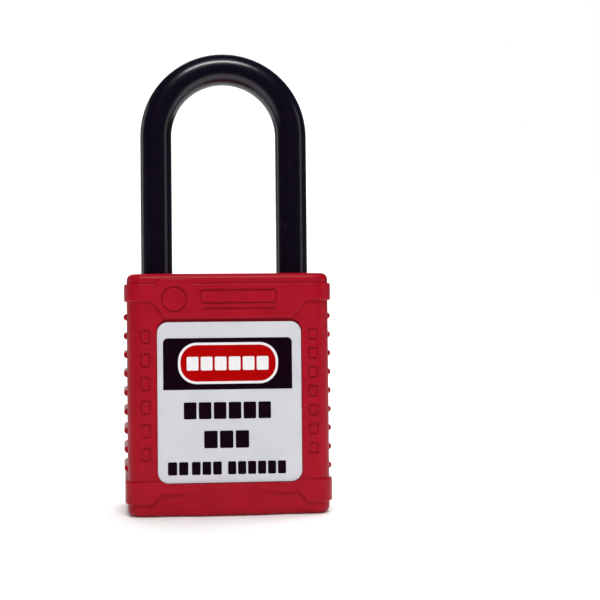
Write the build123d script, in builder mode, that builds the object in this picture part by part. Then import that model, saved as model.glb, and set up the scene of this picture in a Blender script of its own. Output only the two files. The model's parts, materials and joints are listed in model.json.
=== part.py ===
from build123d import *
from math import cos, radians, sin
import os

# Safety padlock with a long nylon shackle and a six-pin cylinder, in millimetres.
#
# Frame: origin in the middle of the base, on the face that it stands on. +Z points up
# along the shackle, +X to the toe side (the leg that comes free), -Y out of the front face.
# Locked and closed at rest. The pin stacks lie at the shear line, so that the plug can turn.

# ---- body -------------------------------------------------------------------------------
body_width = 37.6  # plain sides, without the raised trim
body_depth = 19.0  # plain faces, without the raised trim
body_height = 44.6
body_corner = 3.0  # upright edges
rim_fillet = 1.2  # edges round the top and the base
wall = 1.8
top_wall = 2.8
bulge_half = 10.0  # the skirt swells in the middle until it is level with the trim
bulge_flat = 4.6  # half the width of its level part

# ---- raised trim bands ------------------------------------------------------------------
trim_raise = 0.5
trim_edge = 0.28  # rounding of the trim's outer edges
top_band_upper = 1.9  # the three depths are below the body's top
top_band_lower = 5.1
top_panel_lower = 8.25
top_slope_in, top_slope_out = 11.8, 14.35
crest_left, crest_right = -13.9, -7.0  # small crest on the top band's upper edge
crest_rise, crest_run = 1.0, 1.1
low_band_lower, low_band_upper = 2.25, 6.45
low_panel_lower = 4.15
low_slope_in, low_slope_out = 12.65, 14.25

# ---- grip ribs on the sides -------------------------------------------------------------
rib_count = 9
rib_radius = 0.62
rib_half_length = 6.0
rib_end_fillet = 0.35
rib_margin_low, rib_margin_high = 2.1, 2.9  # gap from each band to the nearest rib's axis

# ---- labels and engraved marks ----------------------------------------------------------
label_width, label_height, label_corner = 26.6, 29.5, 2.0
label_thickness = 0.3
label_gap = 0.12  # round the label in its pocket
pocket_depth = 0.4
label_to_panel = 0.7  # from the label's top to the panel above it
label_groove = 0.5  # finger-nail groove over the label's top edge
label_groove_floor = 0.7  # wall left behind that groove
engrave_depth = 0.28
engrave_line = 0.36
mark_width = 1.9  # framed marks in a column each side of the label
left_marks, left_mark_height, left_mark_pitch = 6, 2.7, 4.3
right_marks, right_mark_height, right_mark_pitch = 7, 2.2, 3.5
marks_below_label_top = 1.3
ring_radius, ring_x = 2.45, -10.15
plate_width, plate_height, plate_x = 14.4, 2.7, 1.7
plate_margin = 1.0  # from the top band's upper edge
rule_width, rule_gap = 13.2, 0.85  # plain line under the plate

# ---- shackle ----------------------------------------------------------------------------
leg_radius = 3.0
shackle_opening = 36.5  # from the body's top to the inside of the bow
toe_depth = 11.0
heel_depth = 31.5
toe_clear = 1.0  # how far the toe stands above the body when it is open
leg_hole_clearance = 0.15
leg_hole_lip = 0.35
leg_end_fillet = 0.6
toe_room = 0.7  # under the toe, in its bore
groove_depth = 0.7
groove_width = 0.6
groove_to_end = 1.35

# ---- latches and their drive ------------------------------------------------------------
latch_bite = 0.9  # how far a latch reaches into its leg
latch_height = 2.3
latch_gap = 0.05
notch_gap = 0.15
notch_ledge = 0.3  # play between a latch and the ledge under it
latch_half_nose = 2.6
latch_side = 5.0
latch_nose_length = 2.5
latch_split = 0.15  # half the gap between the two latches' tails
latch_wall = 1.2
drive_orbit = 2.8
drive_pin_radius = 0.8
drive_slot_gap = 0.15
drive_pin_grip = 1.4
key_turn_angle = 90.0

# ---- inner blocks -----------------------------------------------------------------------
fit_gap = 0.15  # between an inner block and the cavity
block_corner = 1.0
carrier_height = 13.8
cover_plate = 0.8
channel_side_gap = 0.2
channel_height_gap = 0.05
actuator_radius = 2.5
actuator_head_radius = 4.3
actuator_head = 1.85
turn_gap = 0.1  # round pieces that turn by hand in the blocks

# ---- base -------------------------------------------------------------------------------
base_thickness = 2.2
base_gap = 0.1
drain_radius = 0.75
screw_x = 9.2
screw_edge = 0.4  # from a screw's head to the edge of the base cover
screw_radius = 0.9
screw_length = 8.8
screw_head_radius = 1.7
screw_head = 0.9
screw_gap = 0.05
screw_socket, screw_socket_depth = 0.75, 0.6
boss_radius = 1.6
boss_height = 11.8

# ---- cylinder ---------------------------------------------------------------------------
plug_radius = 5.0
plug_clearance = 0.04
plug_face = 0.4  # how far the plug's face lies inside the base
plug_flange = 0.5  # step from the plug's barrel out to its flange
plug_float = 0.05
plug_tail_step = 0.8
plug_tail = 1.6
plug_clip_groove = 0.5
plug_clip_thickness = 0.4
plug_clip_groove_depth = 1.5
plug_clip_overhang = 0.3
tang_width, tang_gap, tang_depth = 2.0, 0.05, 0.95
housing_wall = 1.56
housing_length = 22.4
bible_half = 3.2
strip_thickness = 0.7
pin_stack = 9.9  # from the plug's surface to the outside of the bible
keyway_wall, keyway_right, keyway_width = 0.8, 3.0, 2.1
keyway_end = 1.0
ward_depth, ward_length = 0.65, 1.2

# ---- pin stacks -------------------------------------------------------------------------
pin_radius = 1.22
chamber_radius = 1.3
pin_pitch = 3.2
first_pin = 3.6  # from the housing's lower end
key_pin_lengths = [3.4, 4.6, 4.0, 5.0, 3.7, 4.3]
key_pin_below = 0.15
driver_above = 0.12
driver_length = 3.6
driver_chamfer = 0.25
key_pin_chamfer = 0.3
key_pin_tip = 0.7  # height of the pointed end
chamber_room = 0.75  # behind the longest key pin in its chamber
pin_spring_radius = 0.95
pin_spring_wire = 0.16
pin_spring_turns = 8

# ---- shackle spring ---------------------------------------------------------------------
spring_wire = 0.35
leg_spring_inset = 0.1  # the spring lies this much inside the leg's outline
spring_turns = 7
seat_thickness = 0.5
seat_overhang = 0.6
seat_bore = 1.1
clip_overhang = 0.7
clip_thickness = 0.5
clip_gap = 0.05
clip_mouth = 3.4

# ---- places that follow from the sizes --------------------------------------------------
half_width, half_depth = body_width / 2, body_depth / 2
trim_half_width, trim_half_depth = half_width + trim_raise, half_depth + trim_raise
cavity_half_width, cavity_half_depth = half_width - wall, half_depth - wall
bulge_ease = (bulge_half + bulge_flat) / 2
clip_radius = leg_radius + clip_overhang
heel_channel_radius = clip_radius + fit_gap
leg_x = cavity_half_width - heel_channel_radius - fit_gap
leg_inner = leg_x - leg_radius
leg_hole = leg_radius + leg_hole_clearance
bow_z = body_height + shackle_opening - leg_inner
toe_end = body_height - toe_depth
heel_end = body_height - heel_depth
shackle_lift = toe_depth + toe_clear

cavity_top = body_height - top_wall
cavity_corner = body_corner - wall
block_width = 2 * (cavity_half_width - fit_gap)
block_depth = 2 * (cavity_half_depth - fit_gap)
plate_bottom = cavity_top - cover_plate - channel_height_gap
carrier_top = plate_bottom - channel_height_gap
carrier_bottom = carrier_top - carrier_height
latch_top = carrier_top - channel_height_gap
latch_bottom = latch_top - latch_height
channel_floor = latch_bottom - channel_height_gap
head_top = channel_floor - latch_gap
head_bottom = head_top - actuator_head

latch_travel = 2 * drive_orbit * sin(radians(key_turn_angle / 2))
lift_per_travel = shackle_lift / latch_travel
notch_depth = latch_bite + notch_gap
ledge_z = latch_bottom - notch_ledge

groove_radius = leg_radius - groove_depth
spring_radius = leg_radius - leg_spring_inset
seat_radius = leg_radius + seat_overhang
screw_y = cavity_half_depth - base_gap - screw_head_radius - screw_edge

plug_flange_radius = plug_radius + plug_flange
plug_tail_radius = plug_radius - plug_tail_step
plug_clip_groove_radius = plug_radius - plug_clip_groove_depth
plug_clip_radius = plug_radius + plug_clip_overhang
housing_radius = plug_radius + plug_clearance + housing_wall
keyway_left = keyway_wall - plug_radius
housing_bottom = base_thickness
housing_top = housing_bottom + housing_length
plug_shoulder = housing_bottom - plug_float
plug_back = housing_top + plug_float
tail_top = plug_back + plug_tail
bible_end = plug_radius + pin_stack
strip_end = bible_end + strip_thickness
pin_heights = [housing_bottom + first_pin + pin_pitch * i for i in range(len(key_pin_lengths))]
key_pin_end = plug_radius - key_pin_below
driver_start = plug_radius + driver_above
chamber_floor = key_pin_end - max(key_pin_lengths) - chamber_room

label_top = body_height - top_panel_lower - label_to_panel
label_z = label_top - label_height / 2
label_face = half_depth - pocket_depth + label_thickness
seat_bottom = heel_end - seat_thickness
groove_bottom = heel_end + groove_to_end

os.makedirs("parts", exist_ok=True)


# ---- outer shell ------------------------------------------------------------------------
def trim_band(outline):
    """A slab as wide and deep as the raised trim, cut to an outline seen from the front."""
    with BuildPart() as band:
        with BuildSketch(Plane.XZ):
            with BuildLine():
                Polyline(*outline, close=True)
            make_face()
        extrude(amount=2 * trim_half_depth, both=True)
        with BuildSketch():
            RectangleRounded(2 * trim_half_width, 2 * trim_half_depth, body_corner + trim_raise)
        extrude(amount=body_height, mode=Mode.INTERSECT)
        rim = [
            edge
            for edge in band.edges().filter_by(Axis.Z, reverse=True)
            if not (
                edge.geom_type == GeomType.LINE
                and abs(edge.tangent_at(0).Y) > 0.99
                and abs(edge.center().X) < trim_half_width - trim_edge
            )
        ]
        fillet(rim, trim_edge)
    return band.part


top_edge = body_height - top_band_upper
top_low = body_height - top_band_lower
panel_low = body_height - top_panel_lower
beyond = trim_half_width + 1
top_trim = trim_band([
    (-beyond, top_low),
    (-beyond, top_edge),
    (crest_left, top_edge),
    (crest_left + crest_run, top_edge + crest_rise),
    (crest_right - crest_run, top_edge + crest_rise),
    (crest_right, top_edge),
    (beyond, top_edge),
    (beyond, top_low),
    (top_slope_out, top_low),
    (top_slope_in, panel_low),
    (-top_slope_in, panel_low),
    (-top_slope_out, top_low),
])
low_trim = trim_band([
    (-beyond, low_band_lower),
    (-beyond, low_band_upper),
    (beyond, low_band_upper),
    (beyond, low_band_lower),
    (low_slope_out, low_band_lower),
    (low_slope_in, low_panel_lower),
    (-low_slope_in, low_panel_lower),
    (-low_slope_out, low_band_lower),
])

rib_low = low_band_upper + rib_margin_low
rib_high = top_low - rib_margin_high
rib_heights = [rib_low + (rib_high - rib_low) * i / (rib_count - 1) for i in range(rib_count)]
with BuildPart() as rib:
    with BuildSketch(Plane.XZ):
        Circle(rib_radius)
    extrude(amount=rib_half_length, both=True)
    fillet(rib.edges(), rib_end_fillet)

mark_x = (half_width - body_corner / 2 + label_width / 2) / 2 + engrave_line / 2
mark_columns = (
    (-mark_x, left_marks, left_mark_height, left_mark_pitch),
    (mark_x, right_marks, right_mark_height, right_mark_pitch),
)
plate_z = top_edge - plate_margin - plate_height / 2
rule_z = plate_z - plate_height / 2 - rule_gap

with BuildPart() as body_shell:
    with BuildSketch():
        RectangleRounded(body_width, body_depth, body_corner)
    extrude(amount=body_height)
    with BuildSketch():
        for side in (-1, 1):
            near, far = side * half_depth, side * trim_half_depth
            with BuildLine():
                Bezier((-bulge_half, near), (-bulge_ease, near), (-bulge_ease, far), (-bulge_flat, far))
                Line((-bulge_flat, far), (bulge_flat, far))
                Bezier((bulge_flat, far), (bulge_ease, far), (bulge_ease, near), (bulge_half, near))
                Line((bulge_half, near), (-bulge_half, near))
            make_face()
    extrude(amount=low_panel_lower + 2 * trim_edge)
    rim = body_shell.edges().group_by(Axis.Z)
    fillet(rim[0] + rim[-1], rim_fillet)
    add(top_trim)
    add(low_trim)
    for side in (-1, 1):
        with Locations(*[(side * half_width, 0, z) for z in rib_heights]):
            add(rib.part)

    # label pockets, front and back, and the engraved marks beside and above the label
    for side in (-1, 1):
        outside = Plane.XZ.offset(side * (trim_half_depth + 1))
        with BuildSketch(outside):
            with Locations((0, label_z)):
                pocket = label_width + 2 * label_gap, label_height + 2 * label_gap
                RectangleRounded(*pocket, label_corner + label_gap)
        extrude(amount=-side * (1 + trim_raise + pocket_depth), mode=Mode.SUBTRACT)
        with BuildSketch(Plane.XZ.offset(side * half_depth)):
            with Locations((0, label_z + label_groove / 2)):
                RectangleRounded(label_width, label_height + label_groove, label_corner)
            with Locations((0, label_z)):
                RectangleRounded(label_width, label_height, label_corner, mode=Mode.SUBTRACT)
        extrude(amount=side * (label_groove_floor - wall), mode=Mode.SUBTRACT)
        with BuildSketch(Plane.XZ.offset(side * (half_depth + engrave_depth))):
            for x, count, height, pitch in mark_columns:
                middle = label_top - marks_below_label_top - height / 2 - pitch * (count - 1) / 2
                with Locations((x, middle)), GridLocations(0, pitch, 1, count):
                    RectangleRounded(mark_width, height, engrave_line * 1.4)
                    inner = mark_width - 2 * engrave_line, height - 2 * engrave_line
                    RectangleRounded(*inner, engrave_line * 0.8, mode=Mode.SUBTRACT)
        extrude(amount=-side * 2 * engrave_depth, mode=Mode.SUBTRACT)
        mark_z = (panel_low + top_edge) / 2
        with BuildSketch(Plane.XZ.offset(side * (trim_half_depth + engrave_depth))):
            with Locations((ring_x, mark_z + engrave_line)):
                Circle(ring_radius)
                Circle(ring_radius - engrave_line, mode=Mode.SUBTRACT)
            with Locations((plate_x, plate_z)):
                RectangleRounded(plate_width, plate_height, plate_height / 4)
                inner = plate_width - 2 * engrave_line, plate_height - 2 * engrave_line
                RectangleRounded(*inner, plate_height / 4 - engrave_line / 2, mode=Mode.SUBTRACT)
            with Locations((plate_x, rule_z)):
                Rectangle(rule_width, engrave_line)
        extrude(amount=-side * 2 * engrave_depth, mode=Mode.SUBTRACT)

    # cavity, screw bosses on its walls, and the two leg holes
    with BuildSketch():
        RectangleRounded(2 * cavity_half_width, 2 * cavity_half_depth, cavity_corner)
    extrude(amount=cavity_top, mode=Mode.SUBTRACT)
    with BuildSketch(Plane.XY.offset(base_thickness)):
        for x in (-screw_x, screw_x):
            for side in (-1, 1):
                with Locations((x, side * screw_y)):
                    Circle(boss_radius)
                with Locations((x, side * (screw_y + cavity_half_depth + wall / 2) / 2)):
                    Rectangle(2 * boss_radius, cavity_half_depth + wall / 2 - screw_y)
    extrude(amount=boss_height)
    with Locations(Plane.XY.offset(base_thickness).rotated((180, 0, 0))):
        with GridLocations(2 * screw_x, 2 * screw_y, 2, 2):
            Hole(screw_radius + screw_gap, depth=screw_length)
    with Locations((-leg_x, 0, body_height), (leg_x, 0, body_height)):
        CounterSinkHole(leg_hole, leg_hole + leg_hole_lip, depth=2 * top_wall)
body_shell.part.label = "body_shell"
export_step(body_shell.part, "parts/body_shell.step")

# ---- labels -----------------------------------------------------------------------------
for name, side in (("front_label", 1), ("rear_label", -1)):
    with BuildPart() as label:
        with BuildSketch(Plane.XZ.offset(side * label_face)):
            with Locations((0, label_z)):
                RectangleRounded(label_width, label_height, label_corner)
        extrude(amount=-side * label_thickness)
    label.part.label = name
    export_step(label.part, f"parts/{name}.step")

# ---- base cover and its screws ----------------------------------------------------------
base_size = 2 * (cavity_half_width - base_gap), 2 * (cavity_half_depth - base_gap)
with BuildPart() as base_cover:
    with BuildSketch():
        RectangleRounded(*base_size, cavity_corner)
        Circle(plug_flange_radius + fit_gap, mode=Mode.SUBTRACT)
        with Locations((leg_x, 0)):
            Circle(drain_radius, mode=Mode.SUBTRACT)
    extrude(amount=base_thickness)
    with Locations(Plane.XY.rotated((180, 0, 0))):
        with GridLocations(2 * screw_x, 2 * screw_y, 2, 2):
            CounterSinkHole(screw_radius + screw_gap, screw_head_radius + screw_gap)
base_cover.part.label = "base_cover"
export_step(base_cover.part, "parts/base_cover.step")

with BuildPart() as base_screw:
    with BuildSketch():
        Circle(screw_head_radius)
    extrude(amount=screw_head, taper=40)
    with BuildSketch():
        Circle(screw_radius)
    extrude(amount=screw_length)
    with BuildSketch():
        RegularPolygon(screw_socket, 6)
    extrude(amount=screw_socket_depth, mode=Mode.SUBTRACT)
with BuildPart() as base_screws:
    with GridLocations(2 * screw_x, 2 * screw_y, 2, 2):
        add(base_screw.part)
base_screws.part.label = "base_screws"
export_step(base_screws.part, "parts/base_screws.step")

# ---- shackle ----------------------------------------------------------------------------
with BuildPart() as shackle:
    with BuildLine(Plane.XZ):
        heel_line = Line((-leg_x, heel_end), (-leg_x, bow_z))
        bow = ThreePointArc((-leg_x, bow_z), (0, bow_z + leg_x), (leg_x, bow_z))
        Line((leg_x, bow_z), (leg_x, toe_end))
    with BuildSketch(Plane.XY.offset(heel_end)):
        with Locations((-leg_x, 0)):
            Circle(leg_radius)
    sweep()
    ends = shackle.faces().filter_by(Axis.Z).edges()
    fillet(ends, leg_end_fillet)
    with BuildSketch(Plane.XY.offset(groove_bottom)):
        with Locations((-leg_x, 0)):
            Circle(leg_radius + 1)
            Circle(groove_radius, mode=Mode.SUBTRACT)
    extrude(amount=groove_width, mode=Mode.SUBTRACT)
    # the ledge slopes as the latch draws back while the shackle rises
    with BuildSketch(Plane.XZ):
        for side in (-1, 1):
            with BuildLine():
                Polyline(
                    (side * (leg_inner - 1), latch_top + notch_gap),
                    (side * (leg_inner + notch_depth), latch_top + notch_gap),
                    (side * (leg_inner + notch_depth), ledge_z),
                    (side * (leg_inner - 1), ledge_z - (notch_depth + 1) * lift_per_travel),
                    close=True,
                )
            make_face()
    extrude(amount=leg_radius + 1, both=True, mode=Mode.SUBTRACT)
shackle.part.label = "shackle"
export_step(shackle.part, "parts/shackle.step")

with BuildPart() as heel_clip:
    with BuildSketch(Plane.XY.offset(groove_bottom + (groove_width - clip_thickness) / 2)):
        with Locations((-leg_x, 0)):
            Circle(clip_radius)
            Circle(groove_radius + clip_gap, mode=Mode.SUBTRACT)
        with Locations((-leg_x, -clip_radius)):
            Rectangle(clip_mouth, 2 * clip_radius, mode=Mode.SUBTRACT)
    extrude(amount=clip_thickness)
heel_clip.part.label = "heel_clip"
export_step(heel_clip.part, "parts/heel_clip.step")

with BuildPart() as spring_seat:
    with BuildSketch(Plane.XY.offset(seat_bottom)):
        with Locations((-leg_x, 0)):
            Circle(seat_radius)
            Circle(seat_bore, mode=Mode.SUBTRACT)
    extrude(amount=seat_thickness)
spring_seat.part.label = "spring_seat"
export_step(spring_seat.part, "parts/spring_seat.step")

spring_height = seat_bottom - base_thickness - 2 * spring_wire
with BuildPart() as shackle_spring:
    with BuildLine():
        coil = Helix(
            pitch=spring_height / spring_turns,
            height=spring_height,
            radius=spring_radius,
            center=(-leg_x, 0, base_thickness + spring_wire),
        )
    with BuildSketch(Plane(origin=coil @ 0, z_dir=coil % 0)):
        Circle(spring_wire)
    sweep()
shackle_spring.part.label = "shackle_spring"
export_step(shackle_spring.part, "parts/shackle_spring.step")

# ---- latch carrier and its cover --------------------------------------------------------
with BuildPart() as latch_carrier:
    with BuildSketch(Plane.XY.offset(carrier_bottom)):
        RectangleRounded(block_width, block_depth, block_corner)
        with Locations((-leg_x, 0)):
            Circle(leg_radius + turn_gap, mode=Mode.SUBTRACT)
        Circle(actuator_radius + turn_gap, mode=Mode.SUBTRACT)
    extrude(amount=carrier_height)
    with BuildSketch(Plane.XY.offset(toe_end - toe_room)):
        with Locations((leg_x, 0)):
            Circle(leg_radius + turn_gap)
    extrude(until=Until.LAST, mode=Mode.SUBTRACT)
    with BuildSketch(Plane.XY.offset(head_bottom - turn_gap)):
        Circle(actuator_head_radius + channel_side_gap)
    extrude(amount=actuator_head + 2 * turn_gap, mode=Mode.SUBTRACT)
    with BuildSketch(Plane.XY.offset(channel_floor)):
        Rectangle(2 * leg_x, 2 * (latch_side + channel_side_gap))
    extrude(amount=carrier_top - channel_floor, mode=Mode.SUBTRACT)
latch_carrier.part.label = "latch_carrier"
export_step(latch_carrier.part, "parts/latch_carrier.step")

with BuildPart() as carrier_cover:
    with BuildSketch(Plane.XY.offset(plate_bottom)):
        RectangleRounded(block_width, block_depth, block_corner)
        with Locations((-leg_x, 0), (leg_x, 0)):
            Circle(leg_hole, mode=Mode.SUBTRACT)
    extrude(amount=cover_plate)
carrier_cover.part.label = "carrier_cover"
export_step(carrier_cover.part, "parts/carrier_cover.step")

# ---- latches: one body turned half round gives the other --------------------------------
pin_at = drive_orbit * cos(radians(key_turn_angle / 2))
slot_half = drive_pin_radius + drive_slot_gap
tail_inner = pin_at - slot_half - latch_wall
nose_tip = leg_inner + latch_bite
nose_inner = nose_tip - latch_nose_length
for name, turn in (("toe_latch", 0), ("heel_latch", 180)):
    with BuildPart() as latch:
        with BuildSketch(Plane.XY.offset(latch_bottom).rotated((0, 0, turn))):
            with Locations(((tail_inner + nose_tip) / 2, (latch_side + latch_split) / 2)):
                Rectangle(nose_tip - tail_inner, latch_side - latch_split)
            with Locations((nose_inner + latch_nose_length / 2, (latch_side - latch_half_nose) / 2)):
                Rectangle(latch_nose_length, latch_side + latch_half_nose)
            with Locations((nose_tip, latch_side)):
                Rectangle(2 * latch_nose_length, 2 * (latch_side - latch_half_nose), mode=Mode.SUBTRACT)
            slot_low, slot_high = pin_at - slot_half, drive_orbit + slot_half
            with Locations((pin_at, (slot_low + slot_high) / 2)):
                Rectangle(2 * slot_half, slot_high - slot_low, mode=Mode.SUBTRACT)
        extrude(amount=latch_height)
    latch.part.label = name
    export_step(latch.part, f"parts/{name}.step")

# ---- actuator and its two drive pins ----------------------------------------------------
pin_angles = (key_turn_angle / 2, key_turn_angle / 2 + 180)
with BuildPart() as actuator:
    with BuildSketch(Plane.XY.offset(tail_top + tang_gap)):
        Circle(actuator_radius)
    extrude(amount=head_bottom - tail_top - tang_gap)
    with BuildSketch(Plane.XY.offset(head_bottom)):
        Circle(actuator_head_radius)
    extrude(amount=actuator_head)
    with BuildSketch(Plane.XY.offset(tail_top + tang_gap)):
        Circle(actuator_radius)
        Rectangle(2 * actuator_radius, tang_width, mode=Mode.INTERSECT)
    extrude(amount=-tang_depth)
    with BuildSketch(Plane.XY.offset(head_top)):
        with PolarLocations(drive_orbit, 2, start_angle=pin_angles[0]):
            Circle(drive_pin_radius)
    extrude(amount=-drive_pin_grip, mode=Mode.SUBTRACT)
actuator.part.label = "actuator"
export_step(actuator.part, "parts/actuator.step")

with BuildPart() as drive_pins:
    with BuildSketch(Plane.XY.offset(head_top - drive_pin_grip)):
        with PolarLocations(drive_orbit, 2, start_angle=pin_angles[0]):
            Circle(drive_pin_radius)
    extrude(amount=drive_pin_grip + latch_height)
    chamfer(drive_pins.edges().group_by(Axis.Z)[-1], drive_slot_gap)
drive_pins.part.label = "drive_pins"
export_step(drive_pins.part, "parts/drive_pins.step")

# ---- lower core, which holds the cylinder and the shackle spring ------------------------
with BuildPart() as lower_core:
    with BuildSketch(Plane.XY.offset(base_thickness)):
        RectangleRounded(block_width, block_depth, block_corner)
        with Locations((-leg_x, 0)):
            Circle(heel_channel_radius, mode=Mode.SUBTRACT)
        with Locations((-leg_x - heel_channel_radius, 0)):
            Rectangle(2 * heel_channel_radius, heel_channel_radius, mode=Mode.SUBTRACT)
        Circle(plug_clip_radius + fit_gap, mode=Mode.SUBTRACT)
    extrude(amount=carrier_bottom - base_thickness)
    with BuildSketch(Plane.XY.offset(base_thickness)):
        Circle(housing_radius + turn_gap)
        with Locations(((strip_end + turn_gap) / 2, 0)):
            Rectangle(strip_end + turn_gap, 2 * (bible_half + turn_gap))
    extrude(amount=housing_length, mode=Mode.SUBTRACT)
    with BuildSketch(Plane.XY.offset(base_thickness)):
        for x in (-screw_x, screw_x):
            for side in (-1, 1):
                with Locations((x, side * screw_y)):
                    Circle(boss_radius + fit_gap)
                with Locations((x, side * (screw_y + cavity_half_depth) / 2)):
                    Rectangle(2 * (boss_radius + fit_gap), cavity_half_depth - screw_y)
    extrude(amount=boss_height + fit_gap, mode=Mode.SUBTRACT)
lower_core.part.label = "lower_core"
export_step(lower_core.part, "parts/lower_core.step")

# ---- cylinder housing and the strip that closes its chambers ----------------------------
with BuildPart() as cylinder_housing:
    with BuildSketch(Plane.XY.offset(housing_bottom)):
        Circle(housing_radius)
        with Locations((bible_end / 2, 0)):
            Rectangle(bible_end, 2 * bible_half)
        Circle(plug_radius + plug_clearance, mode=Mode.SUBTRACT)
    extrude(amount=housing_length)
    for z in pin_heights:
        with BuildSketch(Plane.YZ.offset(bible_end)):
            with Locations((0, z)):
                Circle(chamber_radius)
        extrude(amount=-pin_stack, mode=Mode.SUBTRACT)
cylinder_housing.part.label = "cylinder_housing"
export_step(cylinder_housing.part, "parts/cylinder_housing.step")

with BuildPart() as chamber_strip:
    with BuildSketch(Plane.YZ.offset(bible_end)):
        with Locations((0, housing_bottom + housing_length / 2)):
            Rectangle(2 * (chamber_radius + turn_gap), housing_length - 2 * turn_gap)
    extrude(amount=strip_thickness)
chamber_strip.part.label = "chamber_strip"
export_step(chamber_strip.part, "parts/chamber_strip.step")

# ---- plug, its clip, and the keyway -----------------------------------------------------
with BuildPart() as plug:
    with BuildSketch(Plane.XY.offset(plug_face)):
        Circle(plug_flange_radius)
    extrude(amount=plug_shoulder - plug_face)
    with BuildSketch(Plane.XY.offset(plug_shoulder)):
        Circle(plug_radius)
    extrude(amount=plug_back - plug_shoulder)
    with BuildSketch(Plane.XY.offset(plug_back)):
        Circle(plug_tail_radius)
    extrude(amount=plug_tail)
    with BuildSketch(Plane.XY.offset(plug_back + plug_float)):
        Circle(plug_radius + 1)
        Circle(plug_clip_groove_radius, mode=Mode.SUBTRACT)
    extrude(amount=plug_clip_groove, mode=Mode.SUBTRACT)
    with BuildSketch(Plane.XY.offset(tail_top)):
        Rectangle(2 * plug_tail_radius + 1, tang_width + 2 * tang_gap)
    extrude(amount=-tang_depth, mode=Mode.SUBTRACT)
    with BuildSketch(Plane.XY.offset(plug_face)):
        with Locations(((keyway_left + keyway_right) / 2, 0)):
            RectangleRounded(keyway_right - keyway_left, keyway_width, keyway_width / 5)
        for x, side in ((keyway_left / 2, 1), (keyway_right / 3, -1)):
            with Locations((x, side * keyway_width / 2)):
                Rectangle(ward_length, 2 * ward_depth, mode=Mode.SUBTRACT)
    extrude(amount=housing_top - keyway_end - plug_face, mode=Mode.SUBTRACT)
    for z in pin_heights:
        with BuildSketch(Plane.YZ.offset(plug_radius)):
            with Locations((0, z)):
                Circle(chamber_radius)
        extrude(amount=chamber_floor - plug_radius, mode=Mode.SUBTRACT)
    chamfer(plug.edges().filter_by(GeomType.CIRCLE).group_by(Axis.Z)[0], plug_face / 2)
plug.part.label = "plug"
export_step(plug.part, "parts/plug.step")

with BuildPart() as plug_clip:
    clip_z = plug_back + plug_float + (plug_clip_groove - plug_clip_thickness) / 2
    with BuildSketch(Plane.XY.offset(clip_z)):
        Circle(plug_clip_radius)
        Circle(plug_clip_groove_radius + clip_gap, mode=Mode.SUBTRACT)
        with Locations((0, -plug_clip_radius)):
            Rectangle(clip_mouth, 2 * plug_clip_radius, mode=Mode.SUBTRACT)
    extrude(amount=plug_clip_thickness)
plug_clip.part.label = "plug_clip"
export_step(plug_clip.part, "parts/plug_clip.step")

# ---- pin stacks -------------------------------------------------------------------------
spring_start = driver_start + driver_length
pin_spring_length = bible_end - spring_start - 2 * pin_spring_wire
for number, (z, length) in enumerate(zip(pin_heights, key_pin_lengths), 1):
    with BuildPart() as key_pin:
        with BuildSketch(Plane.YZ.offset(key_pin_end)):
            with Locations((0, z)):
                Circle(pin_radius)
        extrude(amount=-length)
        chamfer(key_pin.edges().group_by(Axis.X)[0], key_pin_tip)
        chamfer(key_pin.edges().group_by(Axis.X)[-1], key_pin_chamfer)
    key_pin.part.label = f"key_pin_{number}"
    export_step(key_pin.part, f"parts/key_pin_{number}.step")

    with BuildPart() as driver_pin:
        with BuildSketch(Plane.YZ.offset(driver_start)):
            with Locations((0, z)):
                Circle(pin_radius)
        extrude(amount=driver_length)
        chamfer(driver_pin.edges().filter_by(GeomType.CIRCLE), driver_chamfer)
    driver_pin.part.label = f"driver_pin_{number}"
    export_step(driver_pin.part, f"parts/driver_pin_{number}.step")

    with BuildPart() as pin_spring:
        with BuildLine():
            wire_path = Helix(
                pitch=pin_spring_length / pin_spring_turns,
                height=pin_spring_length,
                radius=pin_spring_radius,
                center=(spring_start + pin_spring_wire, 0, z),
                direction=(1, 0, 0),
            )
        with BuildSketch(Plane(origin=wire_path @ 0, z_dir=wire_path % 0)):
            Circle(pin_spring_wire)
        sweep()
    pin_spring.part.label = f"pin_spring_{number}"
    export_step(pin_spring.part, f"parts/pin_spring_{number}.step")
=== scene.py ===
import json
from math import cos, radians, sin

import bmesh
import bpy
from mathutils import Matrix, Vector


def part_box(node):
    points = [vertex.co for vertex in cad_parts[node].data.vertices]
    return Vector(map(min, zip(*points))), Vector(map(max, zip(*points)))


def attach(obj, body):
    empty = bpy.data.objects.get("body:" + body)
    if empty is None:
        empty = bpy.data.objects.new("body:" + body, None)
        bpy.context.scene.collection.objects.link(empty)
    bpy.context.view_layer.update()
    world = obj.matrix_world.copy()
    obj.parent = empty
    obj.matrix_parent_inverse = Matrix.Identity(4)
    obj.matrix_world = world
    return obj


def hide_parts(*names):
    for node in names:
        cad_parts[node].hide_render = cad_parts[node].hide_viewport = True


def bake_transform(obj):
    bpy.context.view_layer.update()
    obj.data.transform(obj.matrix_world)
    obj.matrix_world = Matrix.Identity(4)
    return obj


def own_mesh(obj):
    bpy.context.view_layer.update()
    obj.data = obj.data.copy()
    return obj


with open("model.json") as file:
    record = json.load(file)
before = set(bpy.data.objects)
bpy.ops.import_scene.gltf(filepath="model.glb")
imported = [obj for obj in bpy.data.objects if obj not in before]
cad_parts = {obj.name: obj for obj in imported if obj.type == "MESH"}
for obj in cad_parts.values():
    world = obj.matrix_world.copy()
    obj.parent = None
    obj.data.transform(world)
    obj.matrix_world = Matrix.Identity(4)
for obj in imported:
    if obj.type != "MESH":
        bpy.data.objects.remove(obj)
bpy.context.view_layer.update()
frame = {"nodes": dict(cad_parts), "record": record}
scene = bpy.context.scene
nodes = frame["nodes"]
MM = 0.001
X, Y, Z = range(3)


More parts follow.
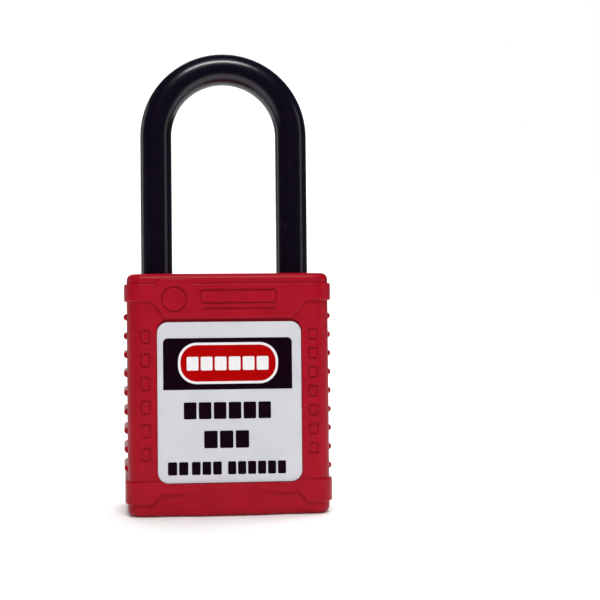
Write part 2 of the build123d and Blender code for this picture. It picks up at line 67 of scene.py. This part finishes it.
def add_object(name, mesh, material):
    """Puts a finished bmesh in the scene as an object of one material."""
    data = bpy.data.meshes.new(name)
    mesh.to_mesh(data)
    mesh.free()
    data.materials.append(material)
    obj = bpy.data.objects.new(name, data)
    scene.collection.objects.link(obj)
    return obj


# ---- procedural materials ---------------------------------------------------------------
NOISE_LOW, NOISE_HIGH = 0.3, 0.7  # nearly all of a noise's values lie between these
# the colour sockets of a Mix node, which has others for numbers and vectors
MIX_FACTOR, MIX_FIRST, MIX_SECOND, MIX_RESULT = 0, 6, 7, 2


class Surface:
    """A principled material in object coordinates, built up one layer at a time."""

    def __init__(self, name, color, roughness, **fixed):
        self.material = bpy.data.materials.new(name)
        self.material.use_nodes = True
        self.tree = self.material.node_tree
        self.shader = self.tree.nodes["Principled BSDF"]
        self.shader.inputs["Base Color"].default_value = (*color, 1)
        self.shader.inputs["Roughness"].default_value = roughness
        for socket, value in fixed.items():
            self.shader.inputs[socket.replace("_", " ")].default_value = value
        self.place = self.add("ShaderNodeTexCoord").outputs["Object"]
        self.color = None
        self.normal = None

    def add(self, kind, **settings):
        node = self.tree.nodes.new(kind)
        for key, value in settings.items():
            setattr(node, key, value)
        return node

    def link(self, source, target):
        self.tree.links.new(source, target)

    def stretched(self, stretch):
        """Object coordinates scaled by stretch: below 1 it draws the noise out that way."""
        if stretch is None:
            return self.place
        mapping = self.add("ShaderNodeMapping")
        mapping.inputs["Scale"].default_value = stretch
        self.link(self.place, mapping.inputs["Vector"])
        return mapping.outputs["Vector"]

    def noise(self, size, detail=2.0, roughness=0.5, stretch=None):
        """Noise whose features are about size millimetres across."""
        node = self.add("ShaderNodeTexNoise")
        node.inputs["Scale"].default_value = 1 / (size * MM)
        node.inputs["Detail"].default_value = detail
        node.inputs["Roughness"].default_value = roughness
        self.link(self.stretched(stretch), node.inputs["Vector"])
        return node.outputs["Fac"]

    def spread(self, value, low, high, to_low, to_high):
        """The value, with the range low to high mapped onto to_low to to_high."""
        node = self.add("ShaderNodeMapRange")
        node.inputs["From Min"].default_value = low
        node.inputs["From Max"].default_value = high
        node.inputs["To Min"].default_value = to_low
        node.inputs["To Max"].default_value = to_high
        self.link(value, node.inputs["Value"])
        return node.outputs["Result"]

    def tint(self, value, dark, light):
        """The base colour runs from dark to light with the value."""
        ramp = self.add("ShaderNodeValToRGB")
        stops = zip(ramp.color_ramp.elements, (NOISE_LOW, NOISE_HIGH), (dark, light))
        for stop, position, color in stops:
            stop.position = position
            stop.color = (*color, 1)
        self.link(value, ramp.inputs["Fac"])
        self.color = ramp.outputs["Color"]
        self.link(self.color, self.shader.inputs["Base Color"])

    def overlay(self, value, color):
        """A second colour, laid over the first by the value."""
        mix = self.add("ShaderNodeMix", data_type="RGBA")
        self.link(value, mix.inputs[MIX_FACTOR])
        self.link(self.color, mix.inputs[MIX_FIRST])
        mix.inputs[MIX_SECOND].default_value = (*color, 1)
        self.color = mix.outputs[MIX_RESULT]
        self.link(self.color, self.shader.inputs["Base Color"])

    def gloss(self, value, low, high):
        """Roughness runs from low to high with the value."""
        roughness = self.spread(value, NOISE_LOW, NOISE_HIGH, low, high)
        self.link(roughness, self.shader.inputs["Roughness"])

    def relief(self, value, height):
        """Relief, height millimetres deep, on top of any before it."""
        bump = self.add("ShaderNodeBump")
        bump.inputs["Strength"].default_value = 1.0
        bump.inputs["Distance"].default_value = height * MM
        self.link(value, bump.inputs["Height"])
        if self.normal is not None:
            self.link(self.normal, bump.inputs["Normal"])
        self.normal = bump.outputs["Normal"]
        self.link(self.normal, self.shader.inputs["Normal"])


def moulded(name, dark, light, roughness, grain, uneven=0.06, **fixed):
    """Moulded nylon: faint mottling, uneven gloss and a fine eroded grain."""
    surface = Surface(name, light, roughness, **fixed)
    mottling = surface.noise(3.2, detail=4, roughness=0.6)
    surface.tint(mottling, dark, light)
    dull_patches = surface.noise(1.3, detail=3, roughness=0.6)
    surface.gloss(dull_patches, roughness - uneven, roughness + uneven)
    surface.relief(surface.noise(0.19, roughness=0.55), grain)
    surface.relief(surface.noise(1.9), grain * 1.4)
    return surface


def metal(name, dark, light, roughness, line, stretch):
    """Machined or drawn metal: tool lines along the stretch, line mm deep, and dull patches."""
    surface = Surface(name, light, roughness, Metallic=1.0)
    tarnish = surface.noise(1.7, detail=4, roughness=0.6)
    surface.tint(tarnish, dark, light)
    streaks = surface.noise(0.35, detail=3, roughness=0.6, stretch=stretch)
    surface.gloss(streaks, roughness - 0.08, roughness + 0.1)
    surface.relief(surface.noise(0.22, roughness=0.6, stretch=stretch), line)
    return surface.material


def ink(name, dark, light, roughness=0.4):
    """Printing ink: dull and faintly mottled."""
    surface = Surface(name, light, roughness, Specular_IOR_Level=0.03)
    mottling = surface.noise(0.8, detail=4, roughness=0.65)
    surface.tint(mottling, dark, light)
    dull_patches = surface.noise(1.2, detail=3, roughness=0.6)
    surface.gloss(dull_patches, roughness - 0.05, roughness + 0.06)
    surface.relief(surface.noise(0.12), 0.001)
    return surface.material


red = moulded("red_nylon", dark=(0.262, 0.0008, 0.0085), light=(0.315, 0.0016, 0.012),
              roughness=0.4, grain=0.012, Specular_IOR_Level=0.14)
# rubbed, paler flecks, as on a lock that has been carried with others
flecks = red.spread(red.noise(0.55, detail=5, roughness=0.72), 0.7, 0.76, 0, 0.28)
red.overlay(flecks, (0.45, 0.03, 0.04))

black = moulded("black_nylon", dark=(0.0012, 0.0001, 0.0042), light=(0.0022, 0.0003, 0.0062),
                roughness=0.25, grain=0.0013, uneven=0.025, Specular_IOR_Level=0.5)
core = moulded("core_nylon", dark=(0.016, 0.016, 0.018), light=(0.028, 0.028, 0.031),
               roughness=0.55, grain=0.012)

film = Surface("label_film", (0.54, 0.54, 0.565), 0.34, Coat_Weight=0.1, Coat_Roughness=0.16)
film.tint(film.noise(6.5, detail=3), dark=(0.478, 0.482, 0.51), light=(0.522, 0.526, 0.552))
film.gloss(film.noise(2.1, detail=3, roughness=0.6), 0.3, 0.4)
film.relief(film.noise(0.9), 0.002)

ink_black = ink("ink_black", (0.0035, 0.0004, 0.0025), (0.006, 0.0008, 0.004))
ink_red = ink("ink_red", (0.31, 0.0001, 0.0003), (0.34, 0.0002, 0.0005))
ink_white = ink("ink_white", (0.64, 0.62, 0.63), (0.7, 0.68, 0.69))

materials = {
    "red_nylon": red.material,
    "black_nylon": black.material,
    "core_nylon": core.material,
    "label_film": film.material,
}
EVEN, ALONG_X, ALONG_Y, ALONG_Z = (1, 1, 1), (0.15, 1, 1), (1, 0.12, 1), (1, 1, 0.12)
SHORT_ALONG_Z = (1, 1, 0.2)
METALS = (
    # name, darker colour, lighter colour, roughness, depth of the lines in mm, stretch
    ("cast_alloy", (0.4, 0.405, 0.42), (0.52, 0.525, 0.54), 0.46, 0.01, EVEN),
    ("stainless_steel", (0.47, 0.465, 0.45), (0.6, 0.595, 0.58), 0.26, 0.003, SHORT_ALONG_Z),
    ("spring_steel", (0.33, 0.33, 0.34), (0.45, 0.45, 0.46), 0.3, 0.003, EVEN),
    ("hardened_steel", (0.22, 0.22, 0.235), (0.31, 0.31, 0.33), 0.34, 0.003, ALONG_X),
    ("cylinder_brass", (0.62, 0.42, 0.16), (0.7, 0.49, 0.2), 0.32, 0.0015, ALONG_Z),
    ("plug_brass", (0.64, 0.45, 0.18), (0.73, 0.53, 0.23), 0.26, 0.0012, ALONG_Y),
    ("pin_brass", (0.62, 0.42, 0.16), (0.75, 0.54, 0.23), 0.25, 0.003, ALONG_X),
    ("pin_nickel", (0.5, 0.48, 0.42), (0.63, 0.61, 0.55), 0.25, 0.003, ALONG_X),
)
for name, *finish in METALS:
    materials[name] = metal(name, *finish)

SMOOTH_BELOW = radians(32)  # edges sharper than this stay sharp
slots = {row["node"]: row["material_slot"] for row in frame["record"]["subparts"]}
for name, node in nodes.items():
    node.data.materials.clear()
    node.data.materials.append(materials[slots[name]])
    node.data.shade_smooth()
    node.data.set_sharp_from_angle(angle=SMOOTH_BELOW)

# the labels' cut edges are softened by handling
for name in ("front_label", "rear_label"):
    edge = nodes[name].modifiers.new("soft_edge", "BEVEL")
    edge.width = 0.07 * MM
    edge.segments = 2
    edge.limit_method = "ANGLE"
    edge.angle_limit = SMOOTH_BELOW


# ---- coil springs -----------------------------------------------------------------------
STEPS_PER_TURN, WIRE_SIDES = 28, 8
WIRE_SMOOTH_BELOW = radians(60)  # rounds the wire and keeps its cut ends sharp
END_ROOM = 1.05  # from a spring's end to the middle of its wire, in wire radii
CLOSED_PITCH = 1.02  # of the one closed turn at each end, in wire diameters
AHEAD = 0.01  # of a turn, to find the way the wire runs
PINS = 6


def coil_spring(node, axis, turns, wire):
    """A compression spring with closed ends in place of a plain CAD one; wire is its radius."""
    low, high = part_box(node)
    start, end = low[axis] + wire * END_ROOM, high[axis] - wire * END_ROOM
    first, second = [i for i in (X, Y, Z) if i != axis]
    center = (low + high) / 2
    radius = (high[first] - low[first]) / 2 - wire
    closed = 2 * wire * CLOSED_PITCH
    pitch = (end - start - 2 * closed) / turns

    def point(turn):
        if turn < 1:
            along = closed * turn
        elif turn < 1 + turns:
            along = closed + pitch * (turn - 1)
        else:
            along = closed + pitch * turns + closed * (turn - 1 - turns)
        place = center.copy()
        place[axis] = start + along
        place[first] += radius * cos(radians(360 * turn))
        place[second] += radius * sin(radians(360 * turn))
        return place

    mesh = bmesh.new()
    rings = []
    for step in range(STEPS_PER_TURN * (turns + 2) + 1):
        turn = step / STEPS_PER_TURN
        place, ahead = point(turn), point(turn + AHEAD)
        outward = place - center
        outward[axis] = 0
        outward.normalize()
        side = (ahead - place).normalized().cross(outward)
        ring = []
        for corner in range(WIRE_SIDES):
            angle = radians(360 * corner / WIRE_SIDES)
            offset = wire * (outward * cos(angle) + side * sin(angle))
            ring.append(mesh.verts.new(place + offset))
        rings.append(ring)
    for one, other in zip(rings, rings[1:]):
        for i in range(WIRE_SIDES):
            mesh.faces.new((one[i - 1], one[i], other[i], other[i - 1]))
    mesh.faces.new(rings[0])
    mesh.faces.new(rings[-1])
    bmesh.ops.recalc_face_normals(mesh, faces=mesh.faces)
    piece = add_object(node + "_wire", mesh, materials["spring_steel"])
    piece.data.shade_smooth()
    piece.data.set_sharp_from_angle(angle=WIRE_SMOOTH_BELOW)
    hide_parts(node)
    return piece


# each pin spring is attached to the lock body and given a mesh of its own
for number in range(1, PINS + 1):
    spring = coil_spring(f"pin_spring_{number}", axis=X, turns=8, wire=0.16 * MM)
    low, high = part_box(f"pin_spring_{number}")
    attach(spring, "lock_body")
    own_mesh(spring)

# the shackle spring stands on the base; its place is baked into its mesh
spring = coil_spring("shackle_spring", axis=Z, turns=7, wire=0.35 * MM)
low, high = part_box("shackle_spring")
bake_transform(spring)


# ---- printed labels, in millimetres -----------------------------------------------------
FRONT, REAR = 1, -1
INK = 0.02  # thickness of the print
CORNER_STEPS = 10
BLOCK_CORNER = 0.25


def rounded(x0, x1, z0, z1, radii):
    """A rectangle's outline; radii go from the lower left, anticlockwise."""
    points = []
    # each corner: its place, the way from it into the rectangle, and where its arc starts
    corners = (
        (x0, z0, 1, 1, 180),
        (x1, z0, -1, 1, 270),
        (x1, z1, -1, -1, 0),
        (x0, z1, 1, -1, 90),
    )
    for (x, z, toward_x, toward_z, start), radius in zip(corners, radii):
        for step in range(CORNER_STEPS + 1):
            angle = radians(start + 90 * step / CORNER_STEPS)
            points.append((x + toward_x * radius + radius * cos(angle),
                           z + toward_z * radius + radius * sin(angle)))
            if not radius:
                break
    return points


def printed(name, outline, layer, material, side, hole=None):
    """A shape printed on the label of one side; layer counts the inks under it."""
    low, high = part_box("front_label" if side == FRONT else "rear_label")
    face = low.y if side == FRONT else high.y
    near = face - side * layer * INK * MM
    far = near - side * INK * MM
    mesh = bmesh.new()

    def ring(points, y):
        return [mesh.verts.new((side * x * MM, y, z * MM)) for x, z in points]

    def wall(a, b):
        for i in range(len(a)):
            mesh.faces.new((a[i - 1], a[i], b[i], b[i - 1]))

    outer = ring(outline, near), ring(outline, far)
    wall(*outer)
    if hole is None:
        mesh.faces.new(outer[0])
        mesh.faces.new(outer[1])
    else:
        inner = ring(hole, near), ring(hole, far)
        wall(*inner)
        wall(outer[0], inner[0])
        wall(outer[1], inner[1])
    bmesh.ops.recalc_face_normals(mesh, faces=mesh.faces)
    piece = add_object(name, mesh, material)
    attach(piece, "lock_body")


def bar(name, x0, x1, z0, z1, material, side, layer=0, radius=0.35):
    printed(name, rounded(x0, x1, z0, z1, [radius] * 4), layer, material, side)


def word(name, x0, x1, z0, z1, blocks, gap, material, layer):
    """A row of plain blocks on the front label in the place of a word."""
    width = (x1 - x0 - gap * (blocks - 1)) / blocks
    for number in range(blocks):
        left = x0 + (width + gap) * number
        bar(f"{name}_{number + 1}", left, left + width, z0, z1, material, FRONT, layer,
            radius=BLOCK_CORNER)


low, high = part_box("front_label")
top = high.z / MM  # lower and upper on the labels are depths below this edge

# the black header, and in it a red field with a white line round it
HEADER_LEFT, HEADER_RIGHT, HEADER_LOWER, HEADER_UPPER = -12.25, 11.6, 12.45, 2.95
HEADER_CORNER = 0.9
FIELD_LEFT, FIELD_RIGHT, FIELD_LOWER, FIELD_UPPER = -9.5, 9.0, 11.4, 3.8
FIELD_CORNER = 3.45
KEYLINE = 0.45
header = rounded(HEADER_LEFT, HEADER_RIGHT, top - HEADER_LOWER, top - HEADER_UPPER,
                 [0, 0, HEADER_CORNER, HEADER_CORNER])
keyline = rounded(FIELD_LEFT, FIELD_RIGHT, top - FIELD_LOWER, top - FIELD_UPPER,
                  [FIELD_CORNER] * 4)
field = rounded(FIELD_LEFT + KEYLINE, FIELD_RIGHT - KEYLINE, top - FIELD_LOWER + KEYLINE,
                top - FIELD_UPPER - KEYLINE, [FIELD_CORNER - KEYLINE] * 4)
for side, label in ((FRONT, "front"), (REAR, "rear")):
    printed(f"{label}_header", header, 0, ink_black, side)
    printed(f"{label}_keyline", keyline, 1, ink_white, side, hole=field)
    printed(f"{label}_field", field, 1, ink_red, side)

WORDS = (
    # name, left, right, lower, upper, blocks, gap, ink, layer
    ("front_field_word", -7.9, 7.2, 8.9, 6.4, 6, 0.42, ink_white, 2),
    ("front_line_1", -8.5, 7.6, 17.85, 14.75, 6, 0.42, ink_black, 0),
    ("front_line_2", -4.8, 3.5, 23.2, 20.0, 3, 0.42, ink_black, 0),
    ("front_line_3_1", -11.5, -7.75, 28.05, 25.65, 2, 0.34, ink_black, 0),
    ("front_line_3_2", -7.1, -1.6, 28.05, 25.65, 3, 0.34, ink_black, 0),
    ("front_line_3_3", -0.45, 10.3, 28.05, 25.65, 6, 0.34, ink_black, 0),
)
for name, left, right, lower, upper, *rest in WORDS:
    word(name, left, right, top - lower, top - upper, *rest)

# the rear label has a mark in its field and rules to write on
bar("rear_field_bar", -4.4, 4.4, top - 8.7, top - 6.9, ink_white, REAR, layer=2)
RULES, FIRST_RULE, RULE_PITCH = 4, 16.2, 3.7
TICK_LEFT, TICK_RIGHT, TICK_HEIGHT = -11.4, -8.6, 1.1
RULE_LEFT, RULE_RIGHT, RULE_BELOW, RULE_ABOVE = -8.0, 11.4, 0.05, 0.13
for number in range(RULES):
    z = top - FIRST_RULE - RULE_PITCH * number
    bar(f"rear_tick_{number + 1}", TICK_LEFT, TICK_RIGHT, z, z + TICK_HEIGHT, ink_black, REAR,
        radius=0.2)
    bar(f"rear_rule_{number + 1}", RULE_LEFT, RULE_RIGHT, z - RULE_BELOW, z + RULE_ABOVE,
        ink_black, REAR, radius=0.05)


# ---- floor and backdrop, in metres ------------------------------------------------------
REACH = 0.4  # to each side
NEAR_EDGE, PAPER_EDGE, BACK = -0.4, -0.1, 1.1  # along y
CURVE, CURVE_STEPS = 0.5, 12  # where the floor turns up into the wall
WALL = 3.0
FLOOR = -0.00005  # just under the base, so that the two don't share a plane
paper = Surface("backdrop_paper", (0.93, 0.93, 0.93), 0.9)
paper.tint(paper.noise(40), dark=(0.92, 0.92, 0.92), light=(0.94, 0.94, 0.94))


def sweep_of_paper(name, profile):
    """A sheet that follows the profile's (y, z) points, as wide as REACH to each side."""
    mesh = bmesh.new()
    rows = [[mesh.verts.new((x, y, z)) for y, z in profile] for x in (-REACH, REACH)]
    for i in range(len(profile) - 1):
        face = mesh.faces.new((rows[0][i], rows[1][i], rows[1][i + 1], rows[0][i + 1]))
        face.smooth = True
    sheet = add_object(name, mesh, paper.material)
    return sheet


profile = [(PAPER_EDGE, FLOOR)]
for step in range(CURVE_STEPS + 1):
    angle = radians(90 * step / CURVE_STEPS)
    profile.append((BACK - CURVE + CURVE * sin(angle), FLOOR + CURVE - CURVE * cos(angle)))
profile.append((BACK, WALL))
sweep_of_paper("backdrop", profile)
# the floor nearer than the paper's edge lights the lock but isn't mirrored in it
near_floor = sweep_of_paper("near_floor", [(NEAR_EDGE, FLOOR), (PAPER_EDGE, FLOOR)])
near_floor.visible_glossy = False


# ---- lights -----------------------------------------------------------------------------
def softbox(name, place, target, size, power, mirrored):
    light = bpy.data.lights.new(name, "AREA")
    light.shape = "RECTANGLE"
    light.size, light.size_y = size
    light.energy = power
    lamp = bpy.data.objects.new(name, light)
    lamp.location = place
    aim = Vector(target) - Vector(place)
    lamp.rotation_euler = aim.to_track_quat("-Z", "Y").to_euler()
    lamp.visible_glossy = mirrored
    scene.collection.objects.link(lamp)


HEART = (0, 0, 0.045)  # the middle of the lock
LIGHTS = (
    # name, place, target, width and height, watts, whether glossy surfaces mirror it
    ("key", (0.0, -0.40, 0.64), HEART, (0.42, 0.095), 3.6, True),
    ("fill", (0.0, -0.8, 0.1), (0, 0, 0.02), (0.9, 0.2), 2.7, False),
    ("top", (0.0, 0.05, 0.7), HEART, (0.6, 0.2), 1.3, False),
    ("right", (0.62, -0.2, 0.14), HEART, (0.1, 0.5), 0.3, True),
    ("left_back", (-0.55, 0.35, 0.14), HEART, (0.15, 0.5), 0.4, True),
    ("back", (0.2, 0.55, 0.95), (0.25, 0.7, 0.1), (1.5, 0.5), 14.0, False),
)
for light in LIGHTS:
    softbox(*light)

# the room gives a little even light, and past the paper's edges it is seen as plain white
ROOM_LIGHT, SURROUND_LIGHT = 0.05, 1.0
world = bpy.data.worlds.new("studio")
world.use_nodes = True
tree = world.node_tree
room = tree.nodes["Background"]
surround = tree.nodes.new("ShaderNodeBackground")
for background, strength in ((room, ROOM_LIGHT), (surround, SURROUND_LIGHT)):
    background.inputs["Color"].default_value = (1, 1, 1, 1)
    background.inputs["Strength"].default_value = strength
rays = tree.nodes.new("ShaderNodeLightPath")
mix = tree.nodes.new("ShaderNodeMixShader")
factor, first, second = mix.inputs
tree.links.new(rays.outputs["Is Camera Ray"], factor)
tree.links.new(room.outputs["Background"], first)
tree.links.new(surround.outputs["Background"], second)
tree.links.new(mix.outputs["Shader"], tree.nodes["World Output"].inputs["Surface"])
scene.world = world
scene.view_settings.view_transform = "Standard"


# ---- camera, solved from the lock's edges in the photograph -----------------------------
EYE = (-0.0193, -0.232, 0.0378)
YAW, PITCH, ROLL = radians(-4.81), radians(1.18), radians(-0.51)
LENS, SENSOR = 72.7, 36
SHIFT_X, SHIFT_Y = 0.1237, -0.0248
CLIP_START, CLIP_END = 0.005, 20

camera_data = bpy.data.cameras.new("camera")
camera_data.lens = LENS
camera_data.sensor_width = SENSOR
camera_data.shift_x = SHIFT_X
camera_data.shift_y = SHIFT_Y
camera_data.clip_start = CLIP_START
camera_data.clip_end = CLIP_END
camera = bpy.data.objects.new("camera", camera_data)
forward = Vector((-sin(YAW) * cos(PITCH), cos(YAW) * cos(PITCH), sin(PITCH)))
rightward = Vector((cos(YAW), sin(YAW), 0))
upward = rightward.cross(forward)
tilted_right = rightward * cos(ROLL) + upward * sin(ROLL)
tilted_up = upward * cos(ROLL) - rightward * sin(ROLL)
turned = Matrix((tilted_right, tilted_up, -forward)).transposed().to_4x4()
camera.matrix_world = Matrix.Translation(EYE) @ turned
scene.collection.objects.link(camera)
scene.camera = camera
